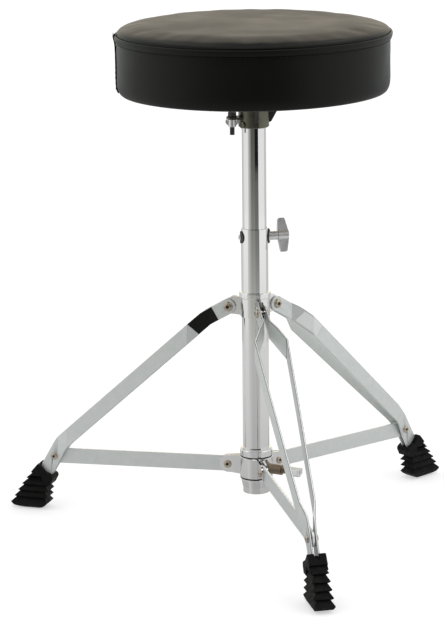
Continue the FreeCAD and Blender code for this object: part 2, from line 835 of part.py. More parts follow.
def make_foot(leg, angle, straps):
    """Ribbed rubber foot with level ribs, a socket for both straps and a slot open between them."""
    outer_tips = [foot_centre + 23.2, foot_centre + 19, foot_centre + 14.8, foot_centre + 10, foot_centre + 4.6]
    inner_tips = [foot_centre - 19.2, foot_centre - 19.8, foot_centre - 21]
    collar_low = rib_base + rib_pitch * 3
    collar = [
        (foot_centre - 23, collar_low), (foot_centre - 26.6, collar_low + 7),
        (foot_centre - 26.2, collar_low + 10), (foot_centre - 23.2, collar_low + 12),
    ]
    brow = [
        (foot_centre - 17.5, collar_low + 14.6), (foot_centre - 10.5, collar_low + 23),
        (foot_centre - 8.5, collar_low + 23), (foot_centre - 1.2, collar_low + 14.4),
        (foot_centre - 2.4, collar_low + 13),
    ]
    ribs = rib_side(outer_tips, size(1.6))
    ribs[0] = (foot_centre - 2.6, rib_base + rib_pitch * 4 + 5.3)
    underside = [
        (foot_centre + 20, 3.2), (foot_centre + 13, 0.9), (foot_centre + 6, 0), (foot_centre - 6, 0),
        (foot_centre - 12, 1.6), (foot_centre - 16.4, 4.4),
    ]
    inner = [(inner_tips[0], rib_base)]
    for i in range(3):
        height = rib_base + rib_pitch * i
        inner.append((inner_tips[i] + rib_depth + 0.3, height + 5.2))
        if i < 2:
            inner.append((inner_tips[i + 1], height + rib_pitch))
    profile = new_body(f"{leg}_foot_profile")
    pad(profile, f"{leg}_foot_side", collar + brow + ribs + underside + inner, 60)

    half = foot_half_width
    side_tips = [half + 1.6, half + 1.1, half + 0.6, half + 0.2, half]
    right = [(half, 70), (half, rib_base + rib_pitch * 4 + 2.4)]
    ribs = rib_side(side_tips, rib_depth)
    ribs[0] = (half - rib_depth, rib_base + rib_pitch * 4 + 1.4)
    right += ribs + [(half, 3), (half - 3.6, 0.5), (half - 5.6, 0), (half - 5.6, -1)]
    left = [(-size(y), z) for y, z in reversed(right)]
    section = new_body(f"{leg}_foot_section")
    pad(section, f"{leg}_foot_front", right + left, 160, "YZ_Plane")
    place(section, 0, foot_centre)

    plan = new_body(f"{leg}_foot_plan")
    slanted = pad(plan, f"{leg}_foot_end", [
        (foot_centre - 60, -13), (foot_centre + 22, -13), (foot_centre + 27, -11), (foot_centre + 30.6, -8),
        (foot_centre + 32.4, -4), (foot_centre + 32.4, 4), (foot_centre + 30.6, 8), (foot_centre + 27, 11),
        (foot_centre + 22, 13), (foot_centre - 60, 13),
    ], 60, "XY_Plane", symmetric=False)
    slanted.UseCustomVector = True
    slanted.Direction = Vector(-24.6, 0, 36)
    slanted.AlongSketchNormal = True
    ribbed = common(f"{leg}_foot_rounded", common(f"{leg}_foot_block", profile, section), plan)

    rim = new_body(f"{leg}_foot_rim")
    pad(rim, f"{leg}_foot_collar", [
        *collar, (foot_centre - 17.5, collar_low + 14.6), (foot_centre - 12, collar_low + 14.6),
        (foot_centre - 15, collar_low),
    ], half * 2)
    solid = fuse(f"{leg}_foot_solid", [ribbed, rim])
    place(solid, angle)

    slot = new_body(f"{leg}_foot_slot")
    pad(slot, f"{leg}_foot_slot_side", [
        (225, foot_slot_floor + 6), (262, foot_slot_floor), (275, foot_slot_floor), (275, 70), (225, 70),
    ], spread_strut * 2)
    place(slot, angle)
    return node(cut(f"{leg}_foot", solid, fuse(f"{leg}_foot_socket", [*straps, slot])), f"{leg}_foot")


def make_leg(leg, angle):
    straps = [make_strap(leg, angle, side, label) for side, label in ((1, "left"), (-1, "right"))]
    make_foot(leg, angle, straps)
    top = rivet(
        f"{leg}_pivot_rivet", top_pivot, spread_narrow + strap_thick, rivet_head_radius, rivet_head_height
    )
    node(place(top[0], angle), f"{leg}_pivot_rivet")
    low = rivet(
        f"{leg}_strut_rivet", strut_pivot, spread_strut + strap_thick, rivet_head_radius * 0.8, 1.6,
        spread_strut,
    )
    whole = fuse(f"{leg}_strut_rivet_solid", low)
    node(place(whole, angle), f"{leg}_strut_rivet")


# ---------------------------------------------------------------- struts

def make_strut(leg, angle):
    name = leg.replace("leg", "strut")
    low = heading(collar_pivot, strut_pivot)
    reach = strut_width / 2
    start = (collar_pivot[0] - reach * cosine(low), collar_pivot[1] - reach * sine(low))
    end = (strut_pivot[0] + reach * cosine(low), strut_pivot[1] + reach * sine(low))
    corners = strip([start, end], [low], reach, reach)
    body = new_body(name)
    pad(body, name + "_bar", corners, strut_thick)
    round_corners(body, name + "_ends", corners, reach * 0.98)
    drill(body, name + "_inner_hole", [collar_pivot], pin_radius + running_fit)
    drill(body, name + "_outer_hole", [strut_pivot], pin_radius)
    place(body, angle)
    node(body, name)
    pin = cross_disc(name + "_pin", strut_pivot, pin_radius, (spread_strut - 0.6 - gap) * 2)
    node(place(pin, angle), name + "_pin")


# ---------------------------------------------------------------- post and seat

def make_post():
    body = new_body("post_tube")
    revolve(body, "post_wall_round", [
        (post_radius - post_wall, post_bottom), (post_radius, post_bottom),
        (post_radius, post_top), (post_radius - post_wall, post_top),
    ])
    holes = [(0, notch_top - notch_pitch * i) for i in range(4)]
    drill_one_side(body, "height_holes", holes, notch_radius, 20)
    return node(body, "post_tube")


def crown(inset):
    """Profile of the seat from its edge to its middle, moved in by inset."""
    outer = [
        (seat_radius - 0.6, seam_height - 3.5),
        (seat_radius, seam_height),
        (seat_radius - 0.4, seam_height + 3.5),
        (seat_radius - 3.5, seam_height + 8.6),
        (seat_radius - 11, seat_top - 2.1),
        (seat_radius - 36, seat_top - 0.8),
        (seat_radius * 0.5, seat_top - 0.3),
        (0, seat_top),
    ]
    moved = []
    for x, z in outer[:-1]:
        moved.append((size(x) - inset, size(z) - size(inset) * 0.8))
    return moved + [(0, seat_top - inset)]


def make_seat():
    board_bottom = seat_bottom + cover_thick
    board_top = board_bottom + board_thick
    plate_bottom = board_bottom - plate_thick
    side = [
        (cover_opening, seat_bottom), (seat_radius - 8, seat_bottom), (seat_radius - 2.6, seat_bottom + 2.6),
        (seat_radius, seat_bottom + 8), (panel_radius, seat_bottom + 26), (panel_radius, seat_bottom + 36),
    ]
    inside = [
        (board_radius, board_bottom), (board_radius, board_top),
        (panel_radius - cover_thick, board_top + 8),
        (panel_radius - cover_thick, seat_bottom + 36),
    ]
    cover = new_body("seat_cover")
    lining = crown(cover_thick)[::-1] + inside[::-1] + [(cover_opening, board_bottom)]
    revolve(cover, "cover_skin", side + crown(0) + lining)
    node(cover, "seat_cover")

    foam = new_body("seat_foam")
    revolve(foam, "foam_round", [(0, board_top)] + inside[1:] + crown(cover_thick))
    node(foam, "seat_foam")

    board = new_body("seat_board")
    revolve(board, "board_round", [
        (0, board_bottom), (board_radius, board_bottom), (board_radius, board_top), (0, board_top),
    ])
    reach = plate_screw_reach
    spots = [(reach, reach), (-reach, reach), (-reach, -reach), (reach, -reach)]
    drill(board, "board_screw_holes", spots, clamp_bolt_radius, "XY_Plane")
    node(board, "seat_board")

    plate = new_body("seat_base_plate")
    half = plate_side / 2
    corners = [(-half, -half), (half, -half), (half, half), (-half, half)]
    pad(plate, "plate_sheet", corners, plate_thick, "XY_Plane", symmetric=False, at=plate_bottom)
    round_corners(plate, "plate_corners", corners, 14, "XY_Plane")
    drill(plate, "plate_screw_holes", spots, clamp_bolt_radius, "XY_Plane")
    node(plate, "seat_base_plate")

    screws = []
    for i, (x, y) in enumerate(spots):
        head = disc(f"screw_head_{i}", 4.6, plate_bottom - 2.2, plate_bottom)
        round_rims(head, f"screw_dome_{i}", [(plate_bottom - 2.2, 4.6)], 1.8)
        shank = disc(f"screw_shank_{i}", clamp_bolt_radius, plate_bottom - 1, board_top - 1)
        screw = fuse(f"screw_{i}", [head, shank])
        spot = f"vector({size(x).formula}; {size(y).formula}; 0)"
        screw.setExpression("Placement.Base", spot)
        screws.append(screw)
    node(group("seat_screws", screws), "seat_screws")

    make_receiver(plate_bottom)
    make_seat_clamp()


def make_receiver(plate_bottom):
    sleeve = new_body("receiver_sleeve")
    bore = post_radius + running_fit
    revolve(sleeve, "receiver_wall", [
        (bore, receiver_bottom), (receiver_radius - 1, receiver_bottom), (receiver_radius, receiver_bottom + 1),
        (receiver_radius, plate_bottom - 3), (receiver_radius + 3, plate_bottom), (bore, plate_bottom),
    ])
    ear = new_body("receiver_ear")
    end = clamp_bolt_reach + 5.5
    pad(ear, "ear_plate", [
        (bore + 1, -8), (end, -5.5), (end, 5.5), (bore + 1, 8),
    ], clamp_ear_thick, "XY_Plane", symmetric=False, at=clamp_ear_height)
    round_corners(ear, "ear_corners", [(end, -5.5), (end, 5.5)], 4, "XY_Plane")
    drill(ear, "ear_bolt_hole", [(clamp_bolt_reach, 0)], clamp_bolt_radius, "XY_Plane")
    place(ear, seat_clamp_angle)
    knob = on_ray(disc("receiver_knob", 3.4, bore + 1, 17.8), 211.4, receiver_bottom + 3.6)
    node(fuse("seat_receiver", [sleeve, ear, knob]), "seat_receiver")

    plates = []
    for i, angle in enumerate((-8.6, 81.4, 270 - 8.6)):
        gusset = new_body(f"gusset_{i}")
        pad(gusset, f"gusset_plate_{i}", [
            (receiver_radius, receiver_bottom + 4.5), (receiver_radius + 2.2, receiver_bottom + 5.5),
            (gusset_reach, plate_bottom - 5), (gusset_reach, plate_bottom),
            (receiver_radius + 3, plate_bottom), (receiver_radius, plate_bottom - 3),
        ], gusset_thick)
        plates.append(place(gusset, angle))
    node(group("seat_gussets", plates), "seat_gussets")


def hexagon(across_flats):
    """Corners of a hexagon about the origin."""
    reach = size(across_flats) / 2 / cosine(size(30))
    return [(reach * cosine(size(60 * i)), reach * sine(size(60 * i))) for i in range(6)]


def make_seat_clamp():
    ear_top = clamp_ear_height + clamp_ear_thick
    head = new_body("clamp_bolt_head")
    pad(head, "clamp_hexagon", hexagon(8), 5, "XY_Plane", symmetric=False, at=ear_top)
    washer = disc("clamp_bolt_flange", 5, ear_top, ear_top + 1)
    shank = disc("clamp_bolt_shank", clamp_bolt_radius, receiver_bottom - 7, ear_top + 2)
    bolt = fuse("seat_clamp_bolt", [head, washer, shank])
    node(place(bolt, seat_clamp_angle, clamp_bolt_reach), "seat_clamp_bolt")

    low = receiver_bottom + 1.5
    top = clamp_ear_height - gap
    hub = disc("wing_nut_hub", 4, low, top)
    wings = new_body("wing_nut_wings")
    sweep = nut_wing_sweep - 0.3
    pad(wings, "wing_nut_blade", [
        (-3, low), (3, low), (sweep, low + 4), (sweep, top - 0.6), (sweep - 1.6, top - 0.2),
        (2.5, low + 4.5), (-2.5, low + 4.5), (1.6 - sweep, top - 0.2), (-sweep, top - 0.6), (-sweep, low + 4),
    ], 2.2)
    bore = disc("wing_nut_bore", clamp_bolt_radius + running_fit, low - 1, top + 1)
    nut = cut("seat_wing_nut", fuse("wing_nut_solid", [hub, wings]), bore)
    node(place(nut, seat_clamp_angle, clamp_bolt_reach, 0, 0, 0, -20), "seat_wing_nut")


# ---------------------------------------------------------------- the whole throne

make_outer_tube()
make_plug()
make_upper_collar()
make_height_clamp()
make_lower_collar()
for leg_name, leg_angle in legs.items():
    make_leg(leg_name, leg_angle)
    make_strut(leg_name, leg_angle)
make_label("leg_b_label", legs["leg_b"], -1, 34, 28, 13)
make_label("leg_c_label", legs["leg_c"], 1, 17, 27, strap_width)
make_post()
make_seat()
doc.recompute()

broken = [obj.Name for obj in doc.Objects if {"Invalid", "Error"} & set(obj.State)]
for obj in nodes:
    if obj.Shape.isNull() or not obj.Shape.isValid() or obj.Shape.Volume < 1:
        broken.append(obj.Label)
if broken:
    raise RuntimeError("these parts failed: " + ", ".join(broken))

os.makedirs("parts", exist_ok=True)
for obj in nodes:
    obj.Shape.exportStep(f"parts/{obj.Label}.step")
print(len(nodes), "parts written")
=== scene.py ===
import json
import math

import bmesh
import bpy
from mathutils import Matrix, Vector


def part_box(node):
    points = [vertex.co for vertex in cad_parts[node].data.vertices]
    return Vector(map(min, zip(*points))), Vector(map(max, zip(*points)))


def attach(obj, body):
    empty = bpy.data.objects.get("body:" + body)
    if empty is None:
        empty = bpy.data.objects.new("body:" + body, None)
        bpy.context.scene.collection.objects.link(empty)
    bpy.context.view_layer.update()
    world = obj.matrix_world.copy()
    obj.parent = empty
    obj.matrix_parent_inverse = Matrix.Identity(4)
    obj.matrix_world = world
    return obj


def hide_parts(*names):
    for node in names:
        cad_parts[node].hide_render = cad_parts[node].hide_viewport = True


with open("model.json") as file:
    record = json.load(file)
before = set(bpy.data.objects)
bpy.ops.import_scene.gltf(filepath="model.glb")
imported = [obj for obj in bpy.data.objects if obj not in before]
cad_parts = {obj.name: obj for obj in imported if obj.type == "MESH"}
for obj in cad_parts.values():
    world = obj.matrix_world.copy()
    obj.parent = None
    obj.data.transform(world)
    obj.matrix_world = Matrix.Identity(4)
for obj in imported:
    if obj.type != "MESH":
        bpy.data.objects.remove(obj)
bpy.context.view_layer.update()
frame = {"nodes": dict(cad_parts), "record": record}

MM = 0.001
nodes = frame["nodes"]
scene = bpy.context.scene

# directions round the throne, in degrees
FRONT = -103.6                     # where the camera stands
LEG_ANGLES = {"leg_a": -90, "leg_b": 30, "leg_c": 150}

# sizes read from the frame
seat_low, seat_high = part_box("seat_cover")
SEAT_BOTTOM = seat_low.z
SEAT_TOP = seat_high.z
SEAT_RADIUS = seat_high.x
PANEL_RADIUS = SEAT_RADIUS - 1.7 * MM
BAND_BOTTOM = SEAT_BOTTOM + 55.4 * MM
BAND_TOP = SEAT_BOTTOM + 62.3 * MM
COVER_OPENING = 118 * MM
PANEL_SEAM_ANGLE = 170.5           # round the throne, in degrees
SIDE_LEAN = 1.0 * MM
CUSHION_SLACK = 0.4 * MM           # how much smaller the cover starts than it ends
CUSHION_TRAVEL = 1.8 * MM
STITCH_PITCH = 5 * MM
STITCH_LENGTH = 3.5 * MM
THREAD_WIDTH = 0.6 * MM
ROUND_STEPS = 200                  # faces round the sewn band
STAPLE_COUNT = 44
STAPLE_SIZE = (1.1 * MM, 10 * MM, 0.6 * MM)

# pins of the fold linkage in a leg's own plane: (reach, height) in millimetres
LEG_PIVOT = (28.6, 243.4)
STRUT_PIVOT = (31.2, 68.5)
STRUT_PIN = (230.69, 61.725)


# ------------------------------------------------------------------ small helpers

def turned(angle):
    """Turn about the tube's axis, from a leg's own plane to the leg's place."""
    return Matrix.Rotation(math.radians(angle), 4, "Z")


def settle_order(bm):
    """Puts edges and faces in the order of their corners, so that each run simulates the same mesh."""
    bm.verts.index_update()
    count = len(bm.verts)

    def rank(item):
        place = 0
        for index in sorted(vert.index for vert in item.verts)[:3]:
            place = place * count + index
        return place

    bm.edges.sort(key=rank)
    bm.faces.sort(key=rank)


def finish_piece(bm, name, material, body, smooth=True):
    """Makes an object of a bmesh, gives it its material and puts it on its body."""
    bmesh.ops.recalc_face_normals(bm, faces=bm.faces)
    settle_order(bm)
    mesh = bpy.data.meshes.new(name)
    bm.to_mesh(mesh)
    bm.free()
    for face in mesh.polygons:
        face.use_smooth = smooth
    piece = bpy.data.objects.new(name, mesh)
    scene.collection.objects.link(piece)
    mesh.materials.append(material)
    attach(piece, body)
    return piece


def apply_modifiers(piece):
    """Turns a piece's modifiers into its own mesh."""
    depsgraph = bpy.context.evaluated_depsgraph_get()
    mesh = bpy.data.meshes.new_from_object(piece.evaluated_get(depsgraph))
    old = piece.data
    piece.modifiers.clear()
    piece.data = mesh
    bpy.data.meshes.remove(old)
    return piece


def round_off(piece):
    """Rounds a piece by one level of subdivision."""
    rounder = piece.modifiers.new("rounder", "SUBSURF")
    rounder.levels = rounder.render_levels = 1


def soften_edges(piece, width, segments=2, angle=35, worn=None):
    """Breaks a part's sharp edges, as tumbling or moulding does; worn is the material of the bevelled edges:
    tumbled bare metal on most straps, painted shade on the front leg's straps.
    """
    weld = piece.modifiers.new("weld", "WELD")
    weld.merge_threshold = 0.00001
    bevel = piece.modifiers.new("edge", "BEVEL")
    bevel.width = width
    bevel.segments = segments
    bevel.limit_method = "ANGLE"
    bevel.angle_limit = math.radians(angle)
    if worn is not None:
        piece.data.materials.append(worn)
        bevel.material = len(piece.material_slots) - 1
    flats = piece.modifiers.new("flats", "WEIGHTED_NORMAL")
    flats.keep_sharp = True


# ------------------------------------------------------------------ shader groups

def new_group(name, inputs, outputs):
    """Empty shader group with float, colour and vector sockets."""
    group = bpy.data.node_groups.new(name, "ShaderNodeTree")
    kinds = {"float": "NodeSocketFloat", "color": "NodeSocketColor", "vector": "NodeSocketVector"}
    for label, kind, value in inputs:
        socket = group.interface.new_socket(label, in_out="INPUT", socket_type=kinds[kind])
        if value is not None:
            socket.default_value = value
    for label, kind in outputs:
        group.interface.new_socket(label, in_out="OUTPUT", socket_type=kinds[kind])
    return group, group.nodes.new("NodeGroupInput"), group.nodes.new("NodeGroupOutput")


def put(tree, kind, **settings):
    """Adds a node and sets its properties."""
    item = tree.nodes.new(kind)
    for key, value in settings.items():
        setattr(item, key, value)
    return item


def mottle_group():
    """Cloudy value between Low and High: handling marks, uneven plating, dull patches."""
    group, start, end = new_group(
        "mottle",
        [("Vector", "vector", None), ("Scale", "float", 40.0), ("Low", "float", 0.1), ("High", "float", 0.2)],
        [("Value", "float")],
    )
    noise = put(group, "ShaderNodeTexNoise")
    noise.inputs["Detail"].default_value = 4
    noise.inputs["Roughness"].default_value = 0.6
    spread = put(group, "ShaderNodeMapRange", interpolation_type="SMOOTHSTEP")
    spread.inputs["From Min"].default_value = 0.32
    spread.inputs["From Max"].default_value = 0.68
    group.links.new(start.outputs["Vector"], noise.inputs["Vector"])
    group.links.new(start.outputs["Scale"], noise.inputs["Scale"])
    group.links.new(noise.outputs["Fac"], spread.inputs["Value"])
    group.links.new(start.outputs["Low"], spread.inputs["To Min"])
    group.links.new(start.outputs["High"], spread.inputs["To Max"])
    group.links.new(spread.outputs["Result"], end.inputs["Value"])
    return group


def two_tone_group():
    """Blend of two colours in soft patches."""
    group, start, end = new_group(
        "two_tone",
        [("Vector", "vector", None), ("Scale", "float", 60.0),
         ("First", "color", (0.5, 0.5, 0.5, 1)), ("Second", "color", (0.6, 0.6, 0.6, 1))],
        [("Color", "color")],
    )
    noise = put(group, "ShaderNodeTexNoise")
    noise.inputs["Detail"].default_value = 5
    blend = put(group, "ShaderNodeMix", data_type="RGBA")
    group.links.new(start.outputs["Vector"], noise.inputs["Vector"])
    group.links.new(start.outputs["Scale"], noise.inputs["Scale"])
    group.links.new(noise.outputs["Fac"], blend.inputs["Factor"])
    group.links.new(start.outputs["First"], blend.inputs[6])
    group.links.new(start.outputs["Second"], blend.inputs[7])
    group.links.new(blend.outputs[2], end.inputs["Color"])
    return group


MOTTLE = mottle_group()
TWO_TONE = two_tone_group()


def new_material(name, **constants):
    """Material with a Principled shader; constants go straight on its sockets."""
    material = bpy.data.materials.new(name)
    material.use_nodes = True
    tree = material.node_tree
    shader = tree.nodes["Principled BSDF"]
    for label, value in constants.items():
        shader.inputs[label.replace("_", " ")].default_value = value
    place = put(tree, "ShaderNodeTexCoord")
    return material, tree, shader, place.outputs["Object"]


def add_mottle(tree, vector, target, scale, low, high):
    """Feeds a socket with a cloudy value between low and high."""
    group = put(tree, "ShaderNodeGroup", node_tree=MOTTLE)
    group.inputs["Scale"].default_value = scale
    group.inputs["Low"].default_value = low
    group.inputs["High"].default_value = high
    tree.links.new(vector, group.inputs["Vector"])
    tree.links.new(group.outputs["Value"], target)


def add_two_tone(tree, vector, target, scale, first, second):
    """Feeds a colour socket with soft patches of two colours."""
    group = put(tree, "ShaderNodeGroup", node_tree=TWO_TONE)
    group.inputs["Scale"].default_value = scale
    group.inputs["First"].default_value = (*first, 1)
    group.inputs["Second"].default_value = (*second, 1)
    tree.links.new(vector, group.inputs["Vector"])
    tree.links.new(group.outputs["Color"], target)


def add_noise_bump(tree, vector, shader, scale, strength, distance):
    """Fine relief from noise."""
    noise = put(tree, "ShaderNodeTexNoise")
    noise.inputs["Scale"].default_value = scale
    noise.inputs["Detail"].default_value = 3
    bump = put(tree, "ShaderNodeBump")
    bump.inputs["Strength"].default_value = strength
    bump.inputs["Distance"].default_value = distance
    tree.links.new(vector, noise.inputs["Vector"])
    tree.links.new(noise.outputs["Fac"], bump.inputs["Height"])
    tree.links.new(bump.outputs["Normal"], shader.inputs["Normal"])


# ------------------------------------------------------------------ finishes

def add_finish(name, tones, gloss, relief=None, **constants):
    """Finish with two tones in soft patches, clouded gloss and, where it is given, a fine relief.

    tones is (scale, first, second), gloss is (scale, smoothest, roughest) and relief is
    (scale, strength, distance).
    """
    material, tree, shader, vector = new_material(name, **constants)
    if tones is not None:
        add_two_tone(tree, vector, shader.inputs["Base Color"], *tones)
    add_mottle(tree, vector, shader.inputs["Roughness"], *gloss)
    if relief is not None:
        add_noise_bump(tree, vector, shader, *relief)
    return material


def tube_chrome():
    """Bright plating of the post, the tube and the collars."""
    return add_finish(
        "tube_chrome", None, (55, 0.03, 0.08), (90, 0.05, 0.0002),
        Metallic=1.0, Base_Color=(0.78, 0.78, 0.775, 1),
    )


def strap_zinc():
    """Satin plating of the straps and struts."""
    return add_finish(
        "strap_zinc", (130, (0.66, 0.70, 0.685), (0.77, 0.79, 0.78)), (170, 0.38, 0.54),
        (900, 0.10, 0.0001), Metallic=0.62,
    )


def strap_edge():
    """Rounded corner of a strap, polished by tumbling."""
    return add_finish(
        "strap_edge", (130, (0.62, 0.64, 0.63), (0.74, 0.75, 0.74)), (170, 0.12, 0.2), Metallic=1.0
    )


def clamp_casting():
    """Plated casting of the wing bolts, the wing nut and the height clamp's boss."""
    return add_finish(
        "clamp_casting", (150, (0.74, 0.75, 0.74), (0.87, 0.87, 0.86)), (110, 0.27, 0.36),
        (500, 0.05, 0.0002), Metallic=0.75,
    )


def rivet_brass():
    """Yellow plating of the rivets, worn pale."""
    return add_finish(
        "rivet_brass", (300, (0.44, 0.36, 0.27), (0.60, 0.54, 0.45)), (260, 0.18, 0.34), Metallic=1.0
    )


def bush_bronze():
    """Dull bronze bush, browned by grease."""
    return add_finish(
        "bush_bronze", (260, (0.14, 0.105, 0.075), (0.34, 0.27, 0.20)), (260, 0.3, 0.5), Metallic=1.0
    )


def strap_shade():
    """Rounded corner of a front strap, painted dark: a painted reflection of the dark of the room in its
    plating.
    """
    return add_finish(
        "strap_shade", (130, (0.045, 0.05, 0.048), (0.10, 0.105, 0.10)), (170, 0.3, 0.44), Metallic=0.5
    )


def strap_painted_highlight():
    """Middle of a strap's sheared edge, painted near-white: a painted highlight standing for the light its
    rounded edge catches.
    """
    return add_finish(
        "strap_painted_highlight", (130, (0.94, 0.95, 0.94), (0.98, 0.98, 0.98)), (170, 0.22, 0.34), Metallic=0.2
    )


def rivet_hole_shade():
    """Painted shade: near-black colour standing for the shadow inside a tubular rivet's hole."""
    return add_finish(
        "rivet_hole_shade", (700, (0.006, 0.006, 0.005), (0.03, 0.025, 0.018)), (500, 0.5, 0.8),
        Specular_IOR_Level=0.2,
    )


def collar_gap_shade():
    """Painted shade: near-black ring standing for the shadow in the gaps between the sliding collar's layers.
    """
    return add_finish(
        "collar_gap_shade", (200, (0.004, 0.004, 0.004), (0.012, 0.012, 0.011)), (260, 0.45, 0.65),
        Specular_IOR_Level=0.25,
    )


def moulded_black():
    """Moulded plastic of the height clamp's saddles and the tube's plug."""
    return add_finish(
        "moulded_black", None, (400, 0.42, 0.6), (1400, 0.12, 0.0001), Base_Color=(0.02, 0.02, 0.02, 1)
    )


def foot_rubber():
    """Dull black rubber of the feet."""
    return add_finish(
        "foot_rubber", (160, (0.002, 0.002, 0.002), (0.005, 0.005, 0.0045)), (220, 0.5, 0.72),
        (1100, 0.25, 0.00015), Specular_IOR_Level=0.14,
    )


def receiver_paint():
    """Dark olive plating of the receiver and the base plate."""
    return add_finish(
        "receiver_paint", (90, (0.10, 0.10, 0.068), (0.16, 0.16, 0.13)), (150, 0.25, 0.4), Metallic=0.85
    )


def gusset_paint():
    """Black paint of the gussets and the clamp bolt."""
    return add_finish(
        "gusset_paint", None, (200, 0.35, 0.5), (800, 0.1, 0.0001), Base_Color=(0.02, 0.02, 0.018, 1)
    )


def bolt_steel():
    """Bare steel of the screws and staples."""
    return add_finish(
        "bolt_steel", (400, (0.55, 0.55, 0.54), (0.75, 0.75, 0.74)), (300, 0.25, 0.4), Metallic=1.0
    )


def label_film(name, colour):
    """Satin film of a blank label."""
    lighter = [min(1, value * 1.15 + 0.004) for value in colour]
    return add_finish(name, (200, colour, lighter), (200, 0.25, 0.4), Specular_IOR_Level=0.2)


def board_plywood():
    """Ply of the seat board, its grain drawn out along one axis."""
    material, tree, shader, vector = new_material("board_plywood")
    grain = put(tree, "ShaderNodeMapping")
    grain.inputs["Scale"].default_value = (6, 60, 60)
    tree.links.new(vector, grain.inputs["Vector"])
    add_two_tone(
        tree, grain.outputs["Vector"], shader.inputs["Base Color"], 2, (0.19, 0.13, 0.08), (0.31, 0.23, 0.145)
    )
    add_mottle(tree, vector, shader.inputs["Roughness"], 60, 0.6, 0.8)
    return material


def foam_block():
    """Open-celled foam of the pad."""
    return add_finish(
        "foam_block", (300, (0.70, 0.66, 0.52), (0.78, 0.74, 0.62)), (300, 0.85, 0.95)
    )


def cover_vinyl():
    """Black vinyl: pebbled grain, slow waves where it is pulled over the foam."""
    material, tree, shader, vector = new_material(
        "cover_vinyl", Specular_IOR_Level=0.16, Specular_Tint=(0.98, 1.0, 0.93, 1)
    )
    add_two_tone(tree, vector, shader.inputs["Base Color"], 25, (0.0032, 0.0032, 0.003), (0.006, 0.006, 0.0055))
    add_mottle(tree, vector, shader.inputs["Roughness"], 14, 0.36, 0.44)
    cells = put(tree, "ShaderNodeTexVoronoi", feature="F1")
    cells.inputs["Scale"].default_value = 850
    grain = put(tree, "ShaderNodeBump")
    grain.inputs["Strength"].default_value = 0.35
    grain.inputs["Distance"].default_value = 0.00015
    waves = put(tree, "ShaderNodeTexNoise")
    waves.inputs["Scale"].default_value = 11
    pull = put(tree, "ShaderNodeBump")
    pull.inputs["Strength"].default_value = 0.35
    pull.inputs["Distance"].default_value = 0.0008
    tree.links.new(vector, cells.inputs["Vector"])
    tree.links.new(vector, waves.inputs["Vector"])
    tree.links.new(waves.outputs["Fac"], pull.inputs["Height"])
    tree.links.new(cells.outputs["Distance"], grain.inputs["Height"])
    tree.links.new(pull.outputs["Normal"], grain.inputs["Normal"])
    tree.links.new(grain.outputs["Normal"], shader.inputs["Normal"])
    return material


def seam_thread():
    """Black twisted thread."""
    return add_finish(
        "seam_thread", (900, (0.004, 0.004, 0.004), (0.014, 0.014, 0.013)), (900, 0.55, 0.75),
        Specular_IOR_Level=0.2,
    )


FINISHES = {
    "bright_chrome": tube_chrome(),
    "zinc_strap": strap_zinc(),
    "clamp_metal": clamp_casting(),
    "brass_rivet": rivet_brass(),
    "bronze_bush": bush_bronze(),
    "black_plastic": moulded_black(),
    "foot_rubber": foot_rubber(),
    "cover_vinyl": cover_vinyl(),
    "foam": foam_block(),
    "plywood": board_plywood(),
    "dark_steel": receiver_paint(),
    "black_steel": gusset_paint(),
    "bolt_steel": bolt_steel(),
    "dark_label": label_film("dark_label_film", (0.004, 0.0035, 0.003)),
    "pale_label": label_film("pale_label_film", (0.82, 0.84, 0.84)),
}
THREAD = seam_thread()
HOLE_SHADE = rivet_hole_shade()
GAP_SHADE = collar_gap_shade()
STRAP_EDGE = strap_edge()
STRAP_SHADE = strap_shade()
PAINTED_STRAP_HIGHLIGHT = strap_painted_highlight()

for part in frame["record"]["subparts"]:
    for material_slot in nodes[part["node"]].material_slots:
        material_slot.material = FINISHES[part["material_slot"]]


# ------------------------------------------------------------------ seat cushion

def spin_profile(points, steps):
    """Surface of revolution: (radius, height) points turned full circle about the seat's middle."""
    bm = bmesh.new()
    verts = [bm.verts.new((x, 0, z)) for x, z in points]
    edges = [bm.edges.new(pair) for pair in zip(verts, verts[1:])]
    bmesh.ops.spin(
        bm, geom=verts + edges, axis=(0, 0, 1), cent=(0, 0, 0), angle=2 * math.pi, steps=steps,
        use_merge=True,
    )
    bmesh.ops.remove_doubles(bm, verts=bm.verts, dist=0.00001)
    return bm


def even_steps(points, step):
    """Puts more points on an outline, about one step apart."""
    result = [points[0]]
    for (x0, z0), (x1, z1) in zip(points, points[1:]):
        count = max(1, round(math.hypot(x1 - x0, z1 - z0) / step))
        result += [(x0 + (x1 - x0) * i / count, z0 + (z1 - z0) * i / count) for i in range(1, count + 1)]
    return result


